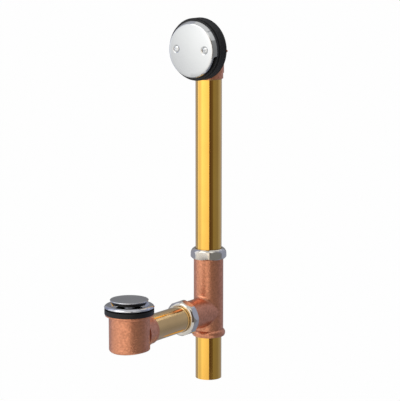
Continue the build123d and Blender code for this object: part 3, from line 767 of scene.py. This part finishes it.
def merged_copy(node: str, name: str, merge_mm: float = 0.002) -> bpy.types.Object:
    """Copies a CAD node's mesh and merges its loose triangles into one closed skin.

    Args:
        node: the CAD node's name.
        name: what to call the copy.
        merge_mm: how near two corners are to be one.

    Returns:
        The copy, which is the active object, in object mode.
    """
    bpy.ops.object.select_all(action="DESELECT")
    piece = bpy.data.objects.new(name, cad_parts[node].data.copy())
    bpy.context.scene.collection.objects.link(piece)
    piece.select_set(True)
    bpy.context.view_layer.objects.active = piece
    bpy.ops.mesh.customdata_custom_splitnormals_clear()
    bpy.ops.object.mode_set(mode="EDIT")
    bpy.ops.mesh.select_all(action="SELECT")
    bpy.ops.mesh.remove_doubles(threshold=merge_mm * MM)
    bpy.ops.mesh.dissolve_degenerate(threshold=merge_mm * MM)
    bpy.ops.mesh.normals_make_consistent(inside=False)
    bpy.ops.object.mode_set(mode="OBJECT")
    return piece


def select_faces(piece: bpy.types.Object, wanted: Callable[[Vector, Vector], bool]) -> None:
    """Selects some of the active piece's faces and leaves it in edit mode.

    Args:
        piece: the piece, in object mode.
        wanted: says from a face's centre and normal whether it is wanted.
    """
    bpy.ops.object.mode_set(mode="EDIT")
    bpy.ops.mesh.select_mode(type="FACE")
    bpy.ops.mesh.select_all(action="DESELECT")
    bpy.ops.object.mode_set(mode="OBJECT")
    for face in piece.data.polygons:
        face.select = wanted(face.center, face.normal)
    bpy.ops.object.mode_set(mode="EDIT")


def stand_in(piece: bpy.types.Object, node: str, finish: Finish, wardrobe: Wardrobe) -> None:
    """Puts a finished piece in a CAD node's place, on the drain body.

    Args:
        piece: the piece.
        node: the CAD node that it stands for.
        finish: what it is made of.
        wardrobe: what makes and puts on the finishes.
    """
    wardrobe.dress(piece, finish)
    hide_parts(node)
    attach(piece, DRAIN_BODY)
    log.info("%s: %s, %d faces", piece.name, finish.name, len(piece.data.polygons))


def add_fillet(fillet: SolderFillet, wardrobe: Wardrobe) -> None:
    """Builds a fillet of solder, dresses it and fixes it to the drain body.

    Args:
        fillet: its size and place.
        wardrobe: what makes and puts on the finishes.
    """
    piece = fillet.build()
    wardrobe.dress(piece, SILVER_SOLDER)
    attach(piece, DRAIN_BODY)
    log.info("%s: %s, %d faces", piece.name, SILVER_SOLDER.name, len(piece.data.polygons))


@dataclass(frozen=True)
class Card:
    """A sheet of card or a softbox round the object, which only polished surfaces see.

    Bearings are in degrees from +X towards +Y, seen from the overflow tube. The colours are linear red, green
    and blue at the two upright edges, and the levels are what they are multiplied by low down and high up,
    between the heights fade_from_m and fade_to_m. A card whose inner_m is less than its distance_m has a foot
    that reaches in to there along the floor.
    """

    name: str
    start_deg: float
    end_deg: float
    start_colour: tuple[float, float, float]
    end_colour: tuple[float, float, float]
    low_level: float = 1.0
    high_level: float = 1.0
    fade_from_m: float = -0.6
    fade_to_m: float = 0.6
    foot_m: float = -0.74
    top_m: float = 2.6
    distance_m: float = 2.4
    inner_m: float = 2.4


@dataclass(frozen=True)
class Lamp:
    """A soft lamp that faces the object from a bearing and a height in degrees."""

    name: str
    bearing_deg: float
    height_deg: float
    distance_m: float
    width_m: float
    depth_m: float
    watts: float


@dataclass
class Studio:
    """A pale floor, a white surround, soft lamps, and cards for the metal to reflect.

    To look at, the floor is plain white by the share floor_white, and its own paint shows in the rest. The
    surround lights the object at the strength surround_light.
    """

    floor_z_m: float = -0.75
    floor_size_m: float = 40.0
    floor_colour: str = "#D9D9D8"
    floor_roughness: float = 0.8
    floor_white: float = 0.98
    surround_light: float = 0.75
    card_steps: int = 24
    cards: tuple[Card, ...] = (
        Card("left_softbox", -163, -138, (0.8, 0.84, 0.95), (0.7, 0.71, 0.73), 1.27, 1.89),
        Card("plate_softbox", -138, -112, (0.66, 0.665, 0.67), (1.04, 1.04, 1.03), 1.27, 1.89),
        Card("front_softbox", -112, -49.5, (1.04, 1.02, 1.0), (0.84, 0.77, 0.68), 1.27, 1.89),
        Card("dark_card", -49.5, -15, (0.09, 0.05, 0.05), (0.17, 0.15, 0.13), 1.0, 1.2),
        Card(
            "grey_card",
            -15,
            40,
            (0.3, 0.3, 0.29),
            (0.28, 0.29, 0.36),
            high_level=1.8,
            fade_from_m=0.6,
            fade_to_m=4.8,
            top_m=6.0,
            inner_m=0.3,
        ),
        Card("blue_card", 40, 96, (0.4, 0.44, 0.6), (0.47, 0.51, 0.66), 0.8, 1.2, -0.74, 0.6, inner_m=0.15),
        Card(
            "back_card",
            96,
            150,
            (0.62, 0.62, 0.64),
            (0.62, 0.62, 0.64),
            low_level=0.47,
            fade_from_m=0.7,
            fade_to_m=2.8,
            top_m=4.4,
            inner_m=0.15,
        ),
        Card("edge_card", 150, 197, (0.6, 0.61, 0.66), (0.48, 0.54, 0.8), 0.85, 1.05, 0.7, 2.8, top_m=4.4),
    )
    lamp_aim_m: tuple[float, float, float] = (0.0, -0.1, 0.2)
    lamps: tuple[Lamp, ...] = (
        Lamp("key_lamp", -112, 48, 2.2, 1.3, 1.3, 9.0),
        Lamp("fill_lamp", -10, 52, 2.4, 1.2, 1.2, 2.0),
        Lamp("strip_lamp", 95, 37, 1.6, 1.5, 0.05, 0.35),
    )

    def build(self) -> None:
        """Sets the floor, the cards, the lamps and the surround."""
        self.lay_floor()
        for card in self.cards:
            self.stand_card(card)
        for lamp in self.lamps:
            self.hang_lamp(lamp)
        self.light_surround()
        log.info("studio: floor, %d cards, %d lamps", len(self.cards), len(self.lamps))

    @staticmethod
    def glow(card: Card) -> bpy.types.Material:
        """Makes the graded glow of a card.

        Args:
            card: its colours and levels.

        Returns:
            The material.
        """
        material = bpy.data.materials.new(card.name)
        material.use_nodes = True
        tree = material.node_tree
        tree.nodes.clear()
        place = add_node(tree, "ShaderNodeTexCoord").outputs["Object"]
        middle = radians(card.start_deg + card.end_deg) / 2
        reach = card.distance_m * sin(radians(card.end_deg - card.start_deg) / 2)
        sideways = add_node(
            tree,
            "ShaderNodeVectorMath",
            {0: place, 1: (-sin(middle), cos(middle), 0.0)},
            operation="DOT_PRODUCT",
        ).outputs["Value"]
        turn = add_node(
            tree, "ShaderNodeMapRange", {"Value": sideways, "From Min": -reach, "From Max": reach}
        ).outputs["Result"]
        colour = add_node(
            tree,
            "ShaderNodeMix",
            {"Factor": turn, MIX_FIRST: (*card.start_colour, 1.0), MIX_SECOND: (*card.end_colour, 1.0)},
            data_type="RGBA",
        ).outputs[MIX_RESULT]
        height = add_node(tree, "ShaderNodeSeparateXYZ", {"Vector": place}).outputs["Z"]
        level = add_node(
            tree,
            "ShaderNodeMapRange",
            {
                "Value": height,
                "From Min": card.fade_from_m,
                "From Max": card.fade_to_m,
                "To Min": card.low_level,
                "To Max": card.high_level,
            },
        ).outputs["Result"]
        glow = add_node(tree, "ShaderNodeEmission", {"Color": colour, "Strength": level})
        add_node(tree, "ShaderNodeOutputMaterial", {"Surface": glow.outputs["Emission"]})
        return material

    @staticmethod
    def seen_directly(tree: bpy.types.NodeTree) -> bpy.types.NodeSocket:
        """Tells a ray that looks at the background from one that lights the object.

        Args:
            tree: the node tree to add to.

        Returns:
            A socket that is 1 for camera, glossy and transmission rays and 0 for others.
        """
        path = add_node(tree, "ShaderNodeLightPath").outputs
        looks = add_node(
            tree, "ShaderNodeMath", {0: path["Is Camera Ray"], 1: path["Is Glossy Ray"]}, operation="ADD"
        )
        return add_node(
            tree,
            "ShaderNodeMath",
            {0: looks.outputs[0], 1: path["Is Transmission Ray"]},
            operation="ADD",
            use_clamp=True,
        ).outputs[0]

    def lay_floor(self) -> None:
        """Lays the pale floor, which keeps a soft shadow under its white."""
        bpy.ops.object.select_all(action="DESELECT")
        bpy.ops.mesh.primitive_plane_add(size=self.floor_size_m, location=(0, 0, self.floor_z_m))
        floor = bpy.context.object
        floor.name = "floor"
        material = bpy.data.materials.new("pale_matt_floor")
        material.use_nodes = True
        tree = material.node_tree
        tree.nodes.clear()
        paint = add_node(
            tree,
            "ShaderNodeBsdfPrincipled",
            {"Base Color": linear(self.floor_colour), "Roughness": self.floor_roughness},
        )
        white = add_node(tree, "ShaderNodeEmission", {"Color": WHITE, "Strength": 1.0})
        amount = add_node(
            tree, "ShaderNodeMath", {0: self.seen_directly(tree), 1: self.floor_white}, operation="MULTIPLY"
        ).outputs[0]
        mixed = add_node(
            tree, "ShaderNodeMixShader", {0: amount, 1: paint.outputs["BSDF"], 2: white.outputs["Emission"]}
        )
        add_node(tree, "ShaderNodeOutputMaterial", {"Surface": mixed.outputs["Shader"]})
        floor.data.materials.append(material)

    def stand_card(self, card: Card) -> None:
        """Spins an upright edge, and its foot along the floor, round the object to make one card.

        A plane is merged to a point, which is then drawn out into the foot and the upright edge.

        Args:
            card: its bearings, heights and reach.
        """
        bpy.ops.object.select_all(action="DESELECT")
        bpy.ops.mesh.primitive_plane_add(size=1, location=(0, 0, 0))
        sheet = bpy.context.object
        sheet.name = card.name
        bearing = radians(card.start_deg)
        outwards = Vector((cos(bearing), sin(bearing), 0))
        bpy.ops.object.mode_set(mode="EDIT")
        bpy.ops.mesh.select_all(action="SELECT")
        bpy.ops.mesh.merge(type="CENTER")
        bpy.ops.transform.translate(value=outwards * card.inner_m + Vector((0, 0, card.foot_m)))
        if card.inner_m < card.distance_m:
            bpy.ops.mesh.extrude_region_move(
                TRANSFORM_OT_translate={"value": outwards * (card.distance_m - card.inner_m)}
            )
        bpy.ops.mesh.extrude_region_move(
            TRANSFORM_OT_translate={"value": (0, 0, card.top_m - card.foot_m)}
        )
        bpy.ops.mesh.select_all(action="SELECT")
        bpy.ops.mesh.spin(
            steps=self.card_steps,
            angle=radians(card.start_deg - card.end_deg),
            center=(0, 0, 0),
            axis=(0, 0, 1),
        )
        bpy.ops.object.mode_set(mode="OBJECT")
        sheet.data.materials.append(self.glow(card))
        sheet.visible_camera = False
        sheet.visible_diffuse = False
        sheet.visible_transmission = False
        sheet.visible_shadow = False

    def hang_lamp(self, lamp: Lamp) -> None:
        """Hangs a lamp so that it faces the object.

        Args:
            lamp: its place, size and power.
        """
        light = bpy.data.lights.new(lamp.name, "AREA")
        light.shape = "RECTANGLE"
        light.size = lamp.width_m
        light.size_y = lamp.depth_m
        light.energy = lamp.watts
        holder = bpy.data.objects.new(lamp.name, light)
        bpy.context.scene.collection.objects.link(holder)
        azimuth, elevation = radians(lamp.bearing_deg), radians(lamp.height_deg)
        way = Vector((cos(azimuth) * cos(elevation), sin(azimuth) * cos(elevation), sin(elevation)))
        holder.location = Vector(self.lamp_aim_m) + way * lamp.distance_m
        holder.rotation_euler = way.to_track_quat("Z", "Y").to_euler()

    def light_surround(self) -> None:
        """Makes the surround white to look at and a plain soft grey as light."""
        world = bpy.data.worlds.new("studio")
        bpy.context.scene.world = world
        world.use_nodes = True
        tree = world.node_tree
        tree.nodes.clear()
        level = add_node(
            tree,
            "ShaderNodeMapRange",
            {"Value": self.seen_directly(tree), "To Min": self.surround_light, "To Max": 1.0},
        )
        sky = add_node(
            tree, "ShaderNodeBackground", {"Color": WHITE, "Strength": level.outputs["Result"]}
        )
        add_node(tree, "ShaderNodeOutputWorld", {"Surface": sky.outputs["Background"]})


@dataclass
class Camera:
    """The camera that took the photograph, worked out from the object's own axes and sizes."""

    place_m: tuple[float, float, float] = (1.48789, -2.09691, 0.71268)
    azimuth_deg: float = 35.636
    elevation_deg: float = 9.897
    lens_mm: float = 161.31
    sensor_mm: float = 36.0

    def build(self) -> None:
        """Sets the camera up and makes it the scene's."""
        azimuth, elevation = radians(self.azimuth_deg), radians(self.elevation_deg)
        back = Vector((sin(azimuth) * cos(elevation), -cos(azimuth) * cos(elevation), sin(elevation)))
        right = Vector((cos(azimuth), sin(azimuth), 0))
        turn = Matrix((right, back.cross(right), back)).transposed()
        lens = bpy.data.cameras.new("camera")
        lens.lens = self.lens_mm
        lens.sensor_width = self.sensor_mm
        holder = bpy.data.objects.new("camera", lens)
        bpy.context.scene.collection.objects.link(holder)
        holder.matrix_world = Matrix.Translation(self.place_m) @ turn.to_4x4()
        bpy.context.scene.camera = holder


def main() -> None:
    """Builds the camera, the studio and each sub-assembly in order."""
    logging.basicConfig(level=logging.INFO, format="%(message)s")
    bpy.context.scene.view_settings.view_transform = "Standard"
    Camera().build()
    Studio().build()
    wardrobe = Wardrobe()
    for assembly in (OverflowHead(), TeeJoint(), DrainShoe(), ToeTouchStopper()):
        assembly.build(wardrobe)


if __name__ == "__main__":
    main()
